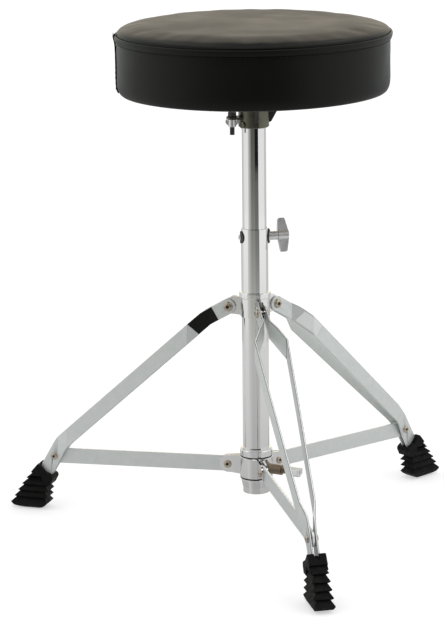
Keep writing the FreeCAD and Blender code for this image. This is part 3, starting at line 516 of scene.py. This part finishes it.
def cushion_profile(slack):
    """Outline from the cover's edge under the board, up the side and in to the middle of the crown."""
    side = PANEL_RADIUS - slack
    top = SEAT_TOP - slack
    return [
        (COVER_OPENING, SEAT_BOTTOM + 0.4 * MM),
        (SEAT_RADIUS - 14 * MM, SEAT_BOTTOM + 0.2 * MM),
        (SEAT_RADIUS - 6 * MM, SEAT_BOTTOM + 0.4 * MM),
        (side - 1.6 * MM, SEAT_BOTTOM + 2.2 * MM),
        (side - 0.2 * MM, SEAT_BOTTOM + 6 * MM),
        (side, SEAT_BOTTOM + 16 * MM),
        (side - 0.4 * MM, SEAT_BOTTOM + 32 * MM),
        (side, BAND_BOTTOM - 6 * MM),
        (PANEL_RADIUS - 0.9 * MM, BAND_BOTTOM - 0.4 * MM),
        (PANEL_RADIUS - 1.4 * MM, BAND_BOTTOM + 1.5 * MM),
        (PANEL_RADIUS - 1.4 * MM, BAND_TOP - 1.2 * MM),
        (PANEL_RADIUS - 0.8 * MM, BAND_TOP + 0.3 * MM),
        (SEAT_RADIUS - 1.4 * MM - slack, BAND_TOP + 1.9 * MM),
        (SEAT_RADIUS - 3.4 * MM - slack, BAND_TOP + 4.9 * MM),
        (SEAT_RADIUS - 7.5 * MM - slack, top - 2.7 * MM),
        (SEAT_RADIUS - 14 * MM, top - 1.6 * MM),
        (SEAT_RADIUS - 30 * MM, top - 0.9 * MM),
        (SEAT_RADIUS - 70 * MM, top - 0.4 * MM),
        (0, top),
    ]


def lean(mesh):
    """The side and its band sit a little lower on one side, as the cover was pulled on by hand."""
    down = turned(PANEL_SEAM_ANGLE) @ Vector((1, 0, 0))
    for vertex in mesh.vertices:
        share = min(1, max(0, (SEAT_TOP - vertex.co.z) / (SEAT_TOP - BAND_TOP)))
        vertex.co.z -= SIDE_LEAN * share * vertex.co.dot(down) / SEAT_RADIUS


def inflate(piece, held, travel):
    """Blows the cover up a little against its seams, and keeps every point within travel."""
    rest = [v.co.copy() for v in piece.data.vertices]
    group = piece.vertex_groups.new(name="held")
    group.add([i for i, co in enumerate(rest) if held(co)], 1.0, "REPLACE")
    cloth = piece.modifiers.new("cover", "CLOTH")
    cloth.settings.quality = 6
    cloth.settings.mass = 0.3
    cloth.settings.tension_stiffness = 20
    cloth.settings.compression_stiffness = 20
    cloth.settings.shear_stiffness = 10
    cloth.settings.bending_stiffness = 2
    cloth.settings.shrink_min = -0.001
    cloth.settings.use_pressure = True
    cloth.settings.uniform_pressure_force = 4
    cloth.settings.effector_weights.gravity = 0
    cloth.settings.vertex_group_mass = "held"
    cloth.collision_settings.use_collision = False
    cloth.point_cache.frame_start = 1
    cloth.point_cache.frame_end = 20
    for step in range(1, 21):
        scene.frame_set(step)
    apply_modifiers(piece)
    scene.frame_set(1)
    for vertex, old in zip(piece.data.vertices, rest):
        move = vertex.co - old
        if move.length > travel:
            vertex.co = old + move * (travel / move.length)
    piece.vertex_groups.clear()
    bm = bmesh.new()
    bm.from_mesh(piece.data)
    loose = [vert for vert, old in zip(bm.verts, rest) if not held(old) and not vert.is_boundary]
    for step in range(5):
        bmesh.ops.smooth_vert(
            bm, verts=loose, factor=0.5, use_axis_x=True, use_axis_y=True, use_axis_z=True
        )
    bm.to_mesh(piece.data)
    bm.free()


def make_cushion():
    """Cover and foam as one crowned pad, its hem turned in under the board."""
    slack = CUSHION_SLACK
    bm = spin_profile(even_steps(cushion_profile(slack), 3.6 * MM), 160)
    cushion = finish_piece(bm, "seat_cushion", FINISHES["cover_vinyl"], "seat")

    def held(co):
        around = math.hypot(co.x, co.y)
        in_hem = co.z < SEAT_BOTTOM + 1.5 * MM
        in_seam = BAND_BOTTOM - 1 * MM < co.z < BAND_TOP + 0.6 * MM and around > PANEL_RADIUS - 3 * MM
        return in_hem or in_seam

    inflate(cushion, held, CUSHION_TRAVEL)
    lean(cushion.data)
    for face in cushion.data.polygons:
        face.use_smooth = True
    thickness = cushion.modifiers.new("thickness", "SOLIDIFY")
    thickness.thickness = 1.1 * MM
    thickness.offset = -1
    round_off(cushion)
    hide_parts("seat_cover", "seat_foam")


def make_band():
    """Sewn-on band between the top panel and the side panel."""
    outline = [
        (PANEL_RADIUS - 1.6 * MM, BAND_BOTTOM + 0.9 * MM),
        (PANEL_RADIUS - 0.4 * MM, BAND_BOTTOM + 0.1 * MM),
        (SEAT_RADIUS - 0.9 * MM, BAND_BOTTOM + 0.3 * MM),
        (SEAT_RADIUS - 0.5 * MM, BAND_BOTTOM + 1.4 * MM),
        (SEAT_RADIUS - 0.1 * MM, BAND_BOTTOM + 3.6 * MM),
        (SEAT_RADIUS + 0.1 * MM, BAND_TOP - 1.9 * MM),
        (SEAT_RADIUS - 0.4 * MM, BAND_TOP - 0.6 * MM),
        (SEAT_RADIUS - 1.3 * MM, BAND_TOP - 0.1 * MM),
        (PANEL_RADIUS - 1.6 * MM, BAND_TOP - 0.9 * MM),
    ]
    bm = spin_profile(outline + outline[:1], ROUND_STEPS)
    band = finish_piece(bm, "seat_band", FINISHES["cover_vinyl"], "seat")
    lean(band.data)
    round_off(band)


def add_stitch(bm, length, thickness, place):
    """One stitch: a short round-ended thread along its own X axis."""
    made = bmesh.ops.create_uvsphere(bm, u_segments=6, v_segments=6, radius=thickness / 2)["verts"]
    stretch = Matrix.Diagonal((length / thickness, 1, 1, 1))
    bmesh.ops.transform(bm, matrix=place @ stretch, verts=made)


def make_band_stitches():
    """Thread that holds the band to the side panel."""
    bm = bmesh.new()
    radius = PANEL_RADIUS - 0.1 * MM
    count = round(2 * math.pi * radius / STITCH_PITCH)
    for i in range(count):
        place = (
            Matrix.Rotation(2 * math.pi * i / count, 4, "Z")
            @ Matrix.Translation((radius, 0, BAND_BOTTOM - 1.1 * MM))
            @ Matrix.Rotation(math.pi / 2, 4, "Z")
        )
        add_stitch(bm, STITCH_LENGTH, THREAD_WIDTH, place)
    stitches = finish_piece(bm, "band_stitches", THREAD, "seat")
    lean(stitches.data)


def panel_seam_path():
    """Way up the side panel and over the band: (radius, height) from the bottom edge to the crown."""
    return [
        (PANEL_RADIUS - 2.6 * MM, SEAT_BOTTOM + 1.2 * MM),
        (PANEL_RADIUS - 0.4 * MM, SEAT_BOTTOM + 5 * MM),
        (PANEL_RADIUS, SEAT_BOTTOM + 16 * MM),
        (PANEL_RADIUS - 0.2 * MM, SEAT_BOTTOM + 32 * MM),
        (PANEL_RADIUS, BAND_BOTTOM - 3 * MM),
        (SEAT_RADIUS - 0.6 * MM, BAND_BOTTOM + 0.8 * MM),
        (SEAT_RADIUS + 0.1 * MM, BAND_BOTTOM + 3.5 * MM),
        (SEAT_RADIUS - 0.2 * MM, BAND_TOP - 1 * MM),
        (SEAT_RADIUS - 1.5 * MM, BAND_TOP + 1.6 * MM),
    ]


def make_panel_seam():
    """Closing seam of the side panel: a raised fold with a row of stitches along it."""
    path = panel_seam_path()
    place = turned(PANEL_SEAM_ANGLE)
    bm = bmesh.new()
    ring = bmesh.ops.create_circle(
        bm, segments=10, radius=1.0 * MM, matrix=Matrix.Translation((path[0][0], 0, path[0][1]))
    )["verts"]
    for (x0, z0), (x1, z1) in zip(path, path[1:]):
        edges = list({edge for vert in ring for edge in vert.link_edges if edge.is_boundary or edge.is_wire})
        made = bmesh.ops.extrude_edge_only(bm, edges=edges)["geom"]
        ring = [item for item in made if isinstance(item, bmesh.types.BMVert)]
        bmesh.ops.translate(bm, vec=(x1 - x0, 0, z1 - z0), verts=ring)
    bmesh.ops.holes_fill(bm, edges=bm.edges, sides=12)
    bmesh.ops.transform(bm, matrix=place, verts=bm.verts)
    fold = finish_piece(bm, "panel_seam", FINISHES["cover_vinyl"], "seat")
    lean(fold.data)
    round_off(fold)

    bm = bmesh.new()
    for x, z in even_steps(path, STITCH_PITCH)[:-1]:
        upright = Matrix.Translation((x + 0.7 * MM, 0, z + STITCH_LENGTH / 2)) @ Matrix.Rotation(
            math.pi / 2, 4, "Y"
        )
        add_stitch(bm, STITCH_LENGTH, THREAD_WIDTH * 1.3, place @ upright)
    stitches = finish_piece(bm, "panel_stitches", THREAD, "seat")
    lean(stitches.data)


make_cushion()
make_band()
make_band_stitches()
make_panel_seam()


# ------------------------------------------------------------------ edges of the metal and rubber parts

for name, piece in nodes.items():
    if name.endswith("_foot"):
        soften_edges(piece, 0.35 * MM, 3)
    # the front leg's strap edges get painted shade: a dark colour standing for the dark room mirrored in them
    elif name.startswith("leg_a_strap"):
        soften_edges(piece, 0.42 * MM, 4, worn=STRAP_SHADE)
    elif "_strap_" in name:
        soften_edges(piece, 0.5 * MM, 4, worn=STRAP_EDGE)
    elif name.endswith("wing_bolt") or name == "seat_wing_nut":
        soften_edges(piece, 0.7 * MM, 3)


def make_strap_highlight(node, body, angle, pins):
    """Painted highlight: bright line along the middle of a strap's sheared edge, taken from the strap's own
    edge faces.
    """
    bm = bmesh.new()
    bm.from_mesh(nodes[node].data)
    bmesh.ops.transform(bm, matrix=turned(-angle), verts=bm.verts)
    bmesh.ops.remove_doubles(bm, verts=bm.verts, dist=0.00001)
    bm.normal_update()

    def off_edge(face):
        middle = face.calc_center_median()
        in_hole = any(math.hypot(middle.x - x * MM, middle.z - z * MM) < 4.5 * MM for x, z in pins)
        return abs(face.normal.y) > 0.2 or in_hole

    bmesh.ops.delete(bm, geom=[face for face in bm.faces if off_edge(face)], context="FACES")
    border = bmesh.ops.inset_region(
        bm, faces=bm.faces[:], thickness=0.36 * MM, use_boundary=True, use_even_offset=True
    )["faces"]
    bmesh.ops.delete(bm, geom=border, context="FACES")
    bm.normal_update()
    for vertex in bm.verts:
        vertex.co += vertex.normal * 0.04 * MM
    bmesh.ops.transform(bm, matrix=turned(angle), verts=bm.verts)
    rim = finish_piece(bm, node + "_rim", PAINTED_STRAP_HIGHLIGHT, body, smooth=False)


# near-white strips along every strap's and strut's edges: painted highlight
for leg, angle in LEG_ANGLES.items():
    strut = leg.replace("leg", "strut")
    for side in ("left", "right"):
        make_strap_highlight(f"{leg}_strap_{side}", leg, angle, [LEG_PIVOT, STRUT_PIN])
    make_strap_highlight(strut, strut, angle, [STRUT_PIVOT, STRUT_PIN])


# ------------------------------------------------------------------ rivets, painted shade in holes and gaps, and screw threads

def spun_ring(outline, place, steps=32):
    """Ring with a closed (radius, height) outline, spun about Z and then put in its place."""
    bm = spin_profile(outline + outline[:1], steps)
    bmesh.ops.transform(bm, matrix=place, verts=bm.verts)
    return bm


def on_strap(angle, pin, side):
    """Place of a rivet head: its Z points out of the leg's side face."""
    reach, height = pin
    return (
        turned(angle)
        @ Matrix.Translation((reach * MM, side * MM, height * MM))
        @ Matrix.Rotation(math.radians(-90 if side > 0 else 90), 4, "X")
    )


def make_rivet_hollow(name, body, place, radius):
    """Open end of a tubular rivet: a rolled lip round a flat disc of painted shade standing for the dark inside
    of the hole.
    """
    lip = [
        (radius * 0.62, -0.3 * MM), (radius * 0.66, 0.25 * MM), (radius * 0.82, 0.42 * MM),
        (radius, 0.2 * MM), (radius * 1.05, -0.5 * MM), (radius * 0.7, -0.7 * MM),
    ]
    ring = finish_piece(spun_ring(lip, place), name + "_lip", FINISHES["brass_rivet"], body)
    bm = bmesh.new()
    # flat near-black disc over the hole: painted shade
    bmesh.ops.create_circle(
        bm, cap_ends=True, segments=24, radius=radius * 0.66,
        matrix=place @ Matrix.Translation((0, 0, 0.06 * MM)),
    )
    hole = finish_piece(bm, name + "_hole", HOLE_SHADE, body, smooth=False)


def make_gap_shade(name, low, high, inner, outer):
    """Thin near-black ring of painted shade in the gap at an edge of the sliding collar's band."""
    outline = [
        (inner * MM, low * MM), (outer * MM, low * MM), (outer * MM, high * MM), (inner * MM, high * MM),
    ]
    ring = finish_piece(spun_ring(outline, Matrix(), 96), name, GAP_SHADE, "fold_collar", smooth=False)


def make_thread(name, body, angle, height, start, end, radius):
    """Screw thread on a clamp's shank, drawn as close ridges along its ray."""
    pitch = 1.0
    count = round((end - start) / pitch)
    ridges = []
    for i in range(count):
        ridges += [(radius + 0.05, start + i * pitch), (radius + 0.45, start + (i + 0.5) * pitch)]
    outline = [(radius - 0.2, start), *ridges, (radius + 0.05, end), (radius - 0.2, end)]
    place = (
        turned(angle) @ Matrix.Translation((0, 0, height * MM)) @ Matrix.Rotation(math.pi / 2, 4, "Y")
    )
    bm = spun_ring([(x * MM, z * MM) for x, z in outline], place, 28)
    thread = finish_piece(bm, name, FINISHES["bronze_bush"], body, smooth=False)


for leg, angle in LEG_ANGLES.items():
    for rivet, body, pin, side, radius in (
        ("low", leg, STRUT_PIN, 6.2, 2.1),
        ("pivot", leg, LEG_PIVOT, 7.0, 2.9),
        ("lug", "fold_collar", STRUT_PIVOT, 4.85, 2.4),
    ):
        for hand, offset in (("left", side), ("right", -side)):
            make_rivet_hollow(f"{leg}_{rivet}_{hand}", body, on_strap(angle, pin, offset), radius * MM)
# near-black rings in the gaps above and below the collar's band: painted shade
make_gap_shade("gap_shade_below_band", 56.0, 57.25, 15.85, 17.35)
make_gap_shade("gap_shade_above_band", 79.75, 80.95, 15.85, 17.2)
make_thread("fold_thread", "fold_bolt", -40, 67, 31.2, 41.4, 3.0)


def make_staples():
    """Staples that hold the cover's hem to the board."""
    bm = bmesh.new()
    for i in range(STAPLE_COUNT):
        turn = 2 * math.pi * (i + 0.3 * math.sin(i * 2.4)) / STAPLE_COUNT
        reach = COVER_OPENING + (7 + 1.5 * math.sin(i * 1.7)) * MM
        place = (
            Matrix.Rotation(turn, 4, "Z")
            @ Matrix.Translation((reach, 0, SEAT_BOTTOM - 0.05 * MM))
            @ Matrix.Rotation(0.35 * math.sin(i * 3.1), 4, "Z")
        )
        made = bmesh.ops.create_cube(bm, size=1, matrix=place @ Matrix.Diagonal((*STAPLE_SIZE, 1)))
        edges = list({edge for vert in made["verts"] for edge in vert.link_edges})
        bmesh.ops.bevel(
            bm, geom=edges, offset=0.2 * MM, affect="EDGES", segments=2, profile=0.5, material=-1
        )
    staples = finish_piece(bm, "hem_staples", FINISHES["bolt_steel"], "seat")


make_staples()


# ------------------------------------------------------------------ studio

def floor_material():
    """White floor that keeps a soft shadow, and is clear when it is seen from below."""
    material = bpy.data.materials.new("studio_floor")
    material.use_nodes = True
    tree = material.node_tree
    shader = tree.nodes["Principled BSDF"]
    shader.inputs["Base Color"].default_value = (0.74, 0.74, 0.74, 1)
    shader.inputs["Roughness"].default_value = 0.9
    shader.inputs["Specular IOR Level"].default_value = 0.0
    path = put(tree, "ShaderNodeLightPath")
    seen = put(tree, "ShaderNodeMath", operation="MULTIPLY")
    seen.inputs[1].default_value = 0.5
    mirrored = put(tree, "ShaderNodeMath", operation="MULTIPLY")
    mirrored.inputs[1].default_value = 0.34
    level = put(tree, "ShaderNodeMath", operation="MAXIMUM")
    glow = put(tree, "ShaderNodeEmission")
    both = put(tree, "ShaderNodeAddShader")
    tree.links.new(path.outputs["Is Camera Ray"], seen.inputs[0])
    tree.links.new(path.outputs["Is Glossy Ray"], mirrored.inputs[0])
    tree.links.new(seen.outputs["Value"], level.inputs[0])
    tree.links.new(mirrored.outputs["Value"], level.inputs[1])
    tree.links.new(level.outputs["Value"], glow.inputs["Strength"])
    tree.links.new(shader.outputs["BSDF"], both.inputs[0])
    tree.links.new(glow.outputs["Emission"], both.inputs[1])
    facing = put(tree, "ShaderNodeNewGeometry")
    clear = put(tree, "ShaderNodeBsdfTransparent")
    sided = put(tree, "ShaderNodeMixShader")
    tree.links.new(facing.outputs["Backfacing"], sided.inputs[0])
    tree.links.new(both.outputs["Shader"], sided.inputs[1])
    tree.links.new(clear.outputs["BSDF"], sided.inputs[2])
    tree.links.new(sided.outputs["Shader"], tree.nodes["Material Output"].inputs["Surface"])
    return material


def make_floor():
    """Round floor under the feet."""
    bm = bmesh.new()
    bmesh.ops.create_circle(bm, cap_ends=True, segments=96, radius=14)
    mesh = bpy.data.meshes.new("studio_floor")
    bm.to_mesh(mesh)
    bm.free()
    floor = bpy.data.objects.new("studio_floor", mesh)
    scene.collection.objects.link(floor)
    mesh.materials.append(floor_material())


def glow_material(name, colour):
    """Material that only glows; gives its node tree and its glow as well."""
    material = bpy.data.materials.new(name)
    material.use_nodes = True
    tree = material.node_tree
    tree.nodes.remove(tree.nodes["Principled BSDF"])
    glow = put(tree, "ShaderNodeEmission")
    glow.inputs["Color"].default_value = (*colour, 1)
    tree.links.new(glow.outputs["Emission"], tree.nodes["Material Output"].inputs["Surface"])
    return material, tree, glow


def card_material(name, colour, near_tone, far_tone, near, far, edge_tone):
    """Tone that changes with the distance from the throne, for cards that only gloss shows."""
    material, tree, glow = glow_material(name, colour)
    place = put(tree, "ShaderNodeTexCoord")
    flat = put(tree, "ShaderNodeVectorMath", operation="MULTIPLY")
    flat.inputs[1].default_value = (1, 1, 0)
    reach = put(tree, "ShaderNodeVectorMath", operation="LENGTH")
    closeness = put(tree, "ShaderNodeMapRange")
    closeness.inputs["From Min"].default_value = near
    closeness.inputs["From Max"].default_value = far
    closeness.inputs["To Min"].default_value = 1
    closeness.inputs["To Max"].default_value = 0
    curve = put(tree, "ShaderNodeMath", operation="POWER")
    curve.inputs[1].default_value = 2.2
    tone = put(tree, "ShaderNodeMapRange")
    tone.inputs["To Min"].default_value = far_tone
    tone.inputs["To Max"].default_value = near_tone
    edge = put(tree, "ShaderNodeAttribute", attribute_name="fade")
    fade = put(tree, "ShaderNodeMix", data_type="FLOAT")
    fade.inputs[2].default_value = edge_tone
    tree.links.new(place.outputs["Object"], flat.inputs[0])
    tree.links.new(flat.outputs["Vector"], reach.inputs[0])
    tree.links.new(reach.outputs["Value"], closeness.inputs["Value"])
    tree.links.new(closeness.outputs["Result"], curve.inputs[0])
    tree.links.new(curve.outputs["Value"], tone.inputs["Value"])
    tree.links.new(edge.outputs["Fac"], fade.inputs["Factor"])
    tree.links.new(tone.outputs["Result"], fade.inputs[3])
    tree.links.new(fade.outputs[0], glow.inputs["Strength"])
    return material


def spin_panel(name, outline, start, end, steps):
    """Curved panel: a (radius, height) outline swept round the throne between two turns."""
    first = math.radians(FRONT + start)
    bm = bmesh.new()
    verts = [bm.verts.new((x * math.cos(first), x * math.sin(first), z)) for x, z in outline]
    edges = [bm.edges.new(pair) for pair in zip(verts, verts[1:])]
    bmesh.ops.spin(
        bm, geom=verts + edges, axis=(0, 0, 1), cent=(0, 0, 0), angle=math.radians(end - start), steps=steps
    )
    mesh = bpy.data.meshes.new(name)
    bm.to_mesh(mesh)
    bm.free()
    return mesh


def stand_for_gloss(name, mesh, material):
    """Stands a panel in the studio where only shiny surfaces see it."""
    mesh.materials.append(material)
    panel = bpy.data.objects.new(name, mesh)
    scene.collection.objects.link(panel)
    panel.visible_camera = False
    panel.visible_diffuse = False
    panel.visible_shadow = False
    panel.visible_transmission = False


def make_card(name, start, end, near, far, top, colour, near_tone, far_tone, fade=(0, 0), edge_tone=0.7):
    """Card that lies on the floor from near to far and then stands up to top.

    Its ends are given in degrees to the right of the camera. It fades to edge_tone over so many degrees
    at its start and its end.
    """
    mesh = spin_panel(name, [(near, 0.002), (far, 0.002), (far, top)], start, end, 24)
    shade = mesh.attributes.new("fade", "FLOAT", "POINT")
    span = end - start
    for vertex, share in zip(mesh.vertices, shade.data):
        turn = math.degrees(math.atan2(vertex.co.y, vertex.co.x)) - FRONT
        along = (turn - start + 1) % 360 - 1
        rise = along / fade[0] if fade[0] else 1
        fall = (span - along) / fade[1] if fade[1] else 1
        share.value = max(0, min(1, rise, fall))
    stand_for_gloss(name, mesh, card_material(name, colour, near_tone, far_tone, near, far, edge_tone))


def make_softbox(name, start, end, low, high, distance, tone, colour=(1, 1, 1)):
    """Evenly lit curved panel between two turns and two elevations."""
    outline = [
        (distance * math.cos(math.radians(rise)), 0.3 + distance * math.sin(math.radians(rise)))
        for rise in (low, (low + high) / 2, high)
    ]
    material, tree, glow = glow_material(name, colour)
    glow.inputs["Strength"].default_value = tone
    stand_for_gloss(name, spin_panel(name, outline, start, end, 12), material)


def make_lamp(name, azimuth, elevation, distance, size, power):
    """Soft square lamp aimed at the throne's middle."""
    light = bpy.data.lights.new(name, "AREA")
    light.size = size
    light.energy = power
    lamp = bpy.data.objects.new(name, light)
    lamp.visible_glossy = False
    scene.collection.objects.link(lamp)
    flat = distance * math.cos(math.radians(elevation))
    spot = Vector((
        flat * math.cos(math.radians(azimuth)), flat * math.sin(math.radians(azimuth)),
        distance * math.sin(math.radians(elevation)),
    ))
    middle = Vector((0, 0, 0.28))
    lamp.matrix_world = Matrix.Translation(middle + spot) @ (
        (-spot).to_track_quat("-Z", "Y").to_matrix().to_4x4()
    )


def make_world():
    """White surroundings, full strength to the camera and in reflections and weaker as light."""
    world = bpy.data.worlds.new("studio")
    scene.world = world
    world.use_nodes = True
    tree = world.node_tree
    back = tree.nodes["Background"]
    back.inputs["Color"].default_value = (1, 1, 1, 1)
    path = put(tree, "ShaderNodeLightPath")
    seen = put(tree, "ShaderNodeMath", operation="MAXIMUM")
    level = put(tree, "ShaderNodeMapRange")
    level.inputs["To Min"].default_value = 0.75
    level.inputs["To Max"].default_value = 1.0
    tree.links.new(path.outputs["Is Camera Ray"], seen.inputs[0])
    tree.links.new(path.outputs["Is Glossy Ray"], seen.inputs[1])
    tree.links.new(seen.outputs["Value"], level.inputs["Value"])
    tree.links.new(level.outputs["Result"], back.inputs["Strength"])


def make_camera():
    """Camera in front of the throne, higher than its seat and looking down at it."""
    camera = bpy.data.cameras.new("camera")
    camera.sensor_width = 36
    camera.lens = 145.07
    camera.clip_end = 100
    stand = bpy.data.objects.new("camera", camera)
    scene.collection.objects.link(stand)
    place = turned(FRONT) @ Vector((2.5739, 0, 0.8667))
    aim = (
        Matrix.Rotation(-0.2237, 4, "Z")
        @ Matrix.Rotation(math.pi / 2 - 0.2386, 4, "X")
        @ Matrix.Rotation(-0.0106, 4, "Z")
    )
    stand.matrix_world = Matrix.Translation(place) @ aim
    scene.camera = stand


make_floor()
make_card("front_card", -60, 6, 0.8, 2.9, 2.6, (1.0, 1.0, 0.95), 0.56, 0.10, fade=(34, 0))
make_card("front_right_card", 6, 40, 0.8, 2.0, 0.02, (0.97, 1.0, 0.97), 0.56, 0.16)
make_card("dark_card", 6, 40, 2.0, 2.001, 2.6, (0.8, 1.0, 1.2), 0.012, 0.012)
make_card("near_front_card", -60, 40, 0.02, 0.8, 0.002, (1.0, 1.0, 1.0), 0.42, 0.56, fade=(34, 12))
make_card("near_floor_card", 40, 300, 0.02, 0.8, 0.002, (1.0, 1.0, 1.0), 0.45, 0.78)
make_card("left_floor_card", -112, -60, 0.8, 1.7, 0.002, (1.0, 1.0, 1.0), 0.78, 1.0)
make_card("right_floor_card", 40, 112, 0.8, 1.7, 0.002, (1.0, 1.0, 1.0), 0.78, 1.0)
make_card("back_left_card", -180, -172, 0.8, 3.1, 0.02, (1.0, 1.0, 1.0), 0.74, 0.74)
make_card("shade_card", -172, -142, 0.8, 3.1, 0.02, (1.0, 1.0, 1.0), 0.46, 0.46)
make_card("left_wedge_card", -142, -112, 0.8, 3.1, 0.02, (1.0, 1.0, 1.0), 0.74, 0.74)
make_card("back_right_card", 112, 180, 0.8, 3.1, 0.02, (1.0, 1.0, 1.0), 0.64, 0.64)
make_softbox("back_wall", 152, 208, 5, 42, 3.1, 1.27, (1.0, 0.91, 0.76))
make_card("back_left_wall", -152, -112, 3.1, 3.101, 2.8, (0.92, 1.0, 0.93), 0.95, 0.95)
make_card("back_right_wall", 112, 152, 3.1, 3.101, 2.8, (0.92, 1.0, 0.95), 0.92, 0.92)
make_softbox("dark_ceiling", 145, 215, 44, 72, 3.6, 0.12)
make_softbox("pale_ceiling", -95, 95, 44, 72, 3.6, 0.5)
make_softbox("left_ceiling_box", 215, 265, 50, 76, 3.2, 2.4)
make_softbox("right_ceiling_box", 95, 145, 50, 76, 3.2, 2.4)
make_softbox("zenith_box", -180, 180, 72, 89.9, 3.6, 0.8)
make_softbox("front_softbox", -50, 50, 46, 72, 2.6, 1.5)
make_lamp("key", FRONT + 60, 50, 2.6, 1.4, 4)
make_lamp("fill", FRONT - 70, 35, 2.8, 1.6, 2)
make_lamp("top", FRONT + 180, 75, 2.4, 1.6, 2)
make_world()
make_camera()

scene.view_settings.view_transform = "Standard"
